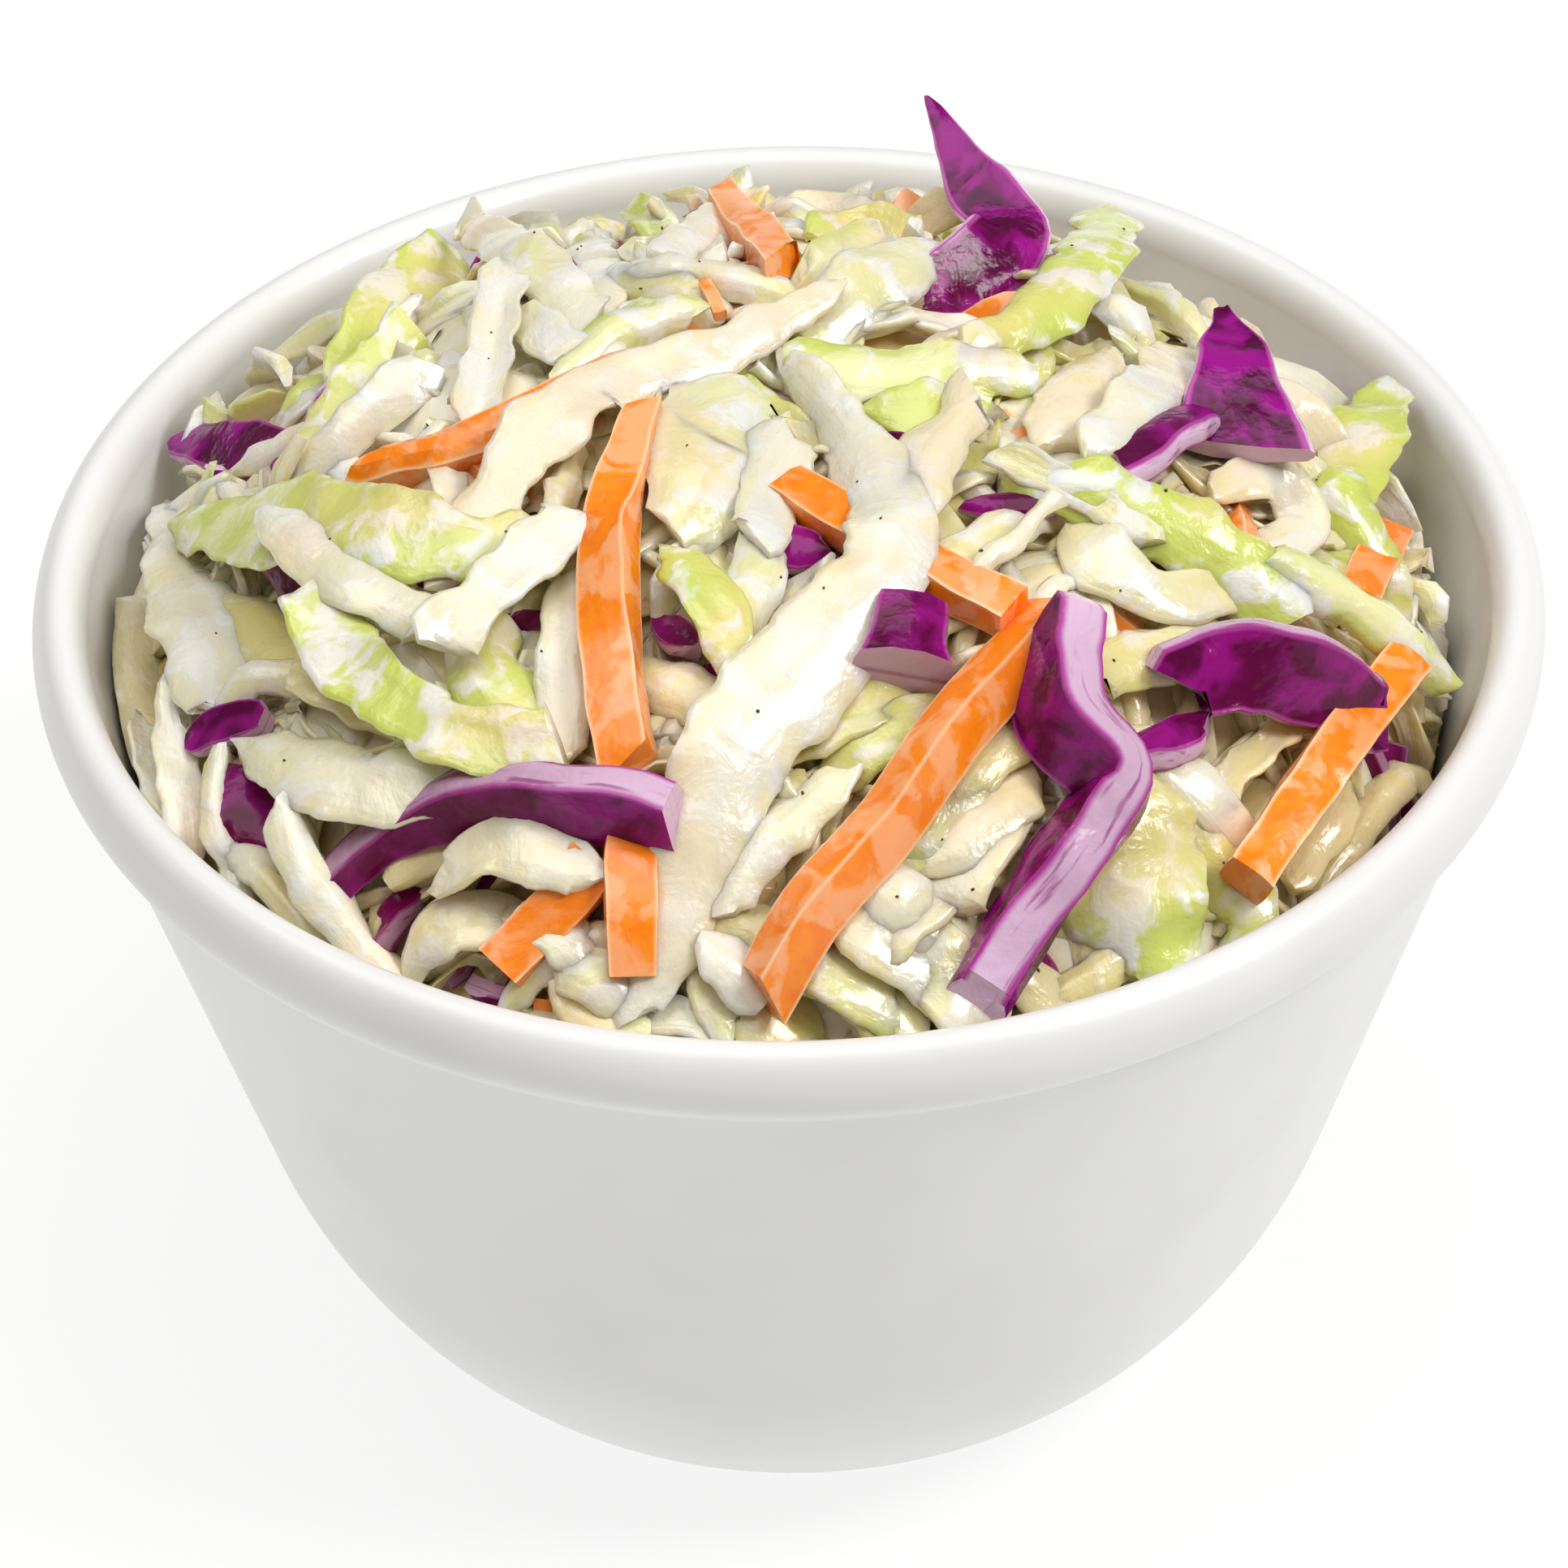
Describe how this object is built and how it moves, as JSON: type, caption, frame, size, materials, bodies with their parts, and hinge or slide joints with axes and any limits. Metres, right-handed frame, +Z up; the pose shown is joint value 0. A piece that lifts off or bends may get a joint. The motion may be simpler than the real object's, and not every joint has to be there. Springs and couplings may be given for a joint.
{
  "type": "coleslaw in a side cup",
  "caption": "Coleslaw heaped in a white round side cup: dressed shreds of white and green cabbage, carrot sticks and curls of red cabbage doming above a rolled rim.",
  "frame": {"origin": "middle of the cup's foot, on the surface that it stands on", "axes": "+Z up through the cup's axis; -Y is the front of the heap, where the long carrot stick and the broad white ribbon end; +X is to the right seen from the front"},
  "size_m": [0.098, 0.098, 0.074],
  "materials": {
    "cup": "smooth white melamine, soft gloss",
    "white_cabbage": "pale cream cabbage, wet with dressing",
    "green_cabbage": "pale lime green cabbage leaf under streaks of cream dressing",
    "carrot": "moist cut carrot with pale dressing smears",
    "red_cabbage": "glossy purple skin with a lilac white cut face",
    "dressing": "thin cream dressing, wet gloss"
  },
  "bodies": {
    "root": {"cup": "cup", "coleslaw": "white_cabbage"}
  },
  "joints": []
}
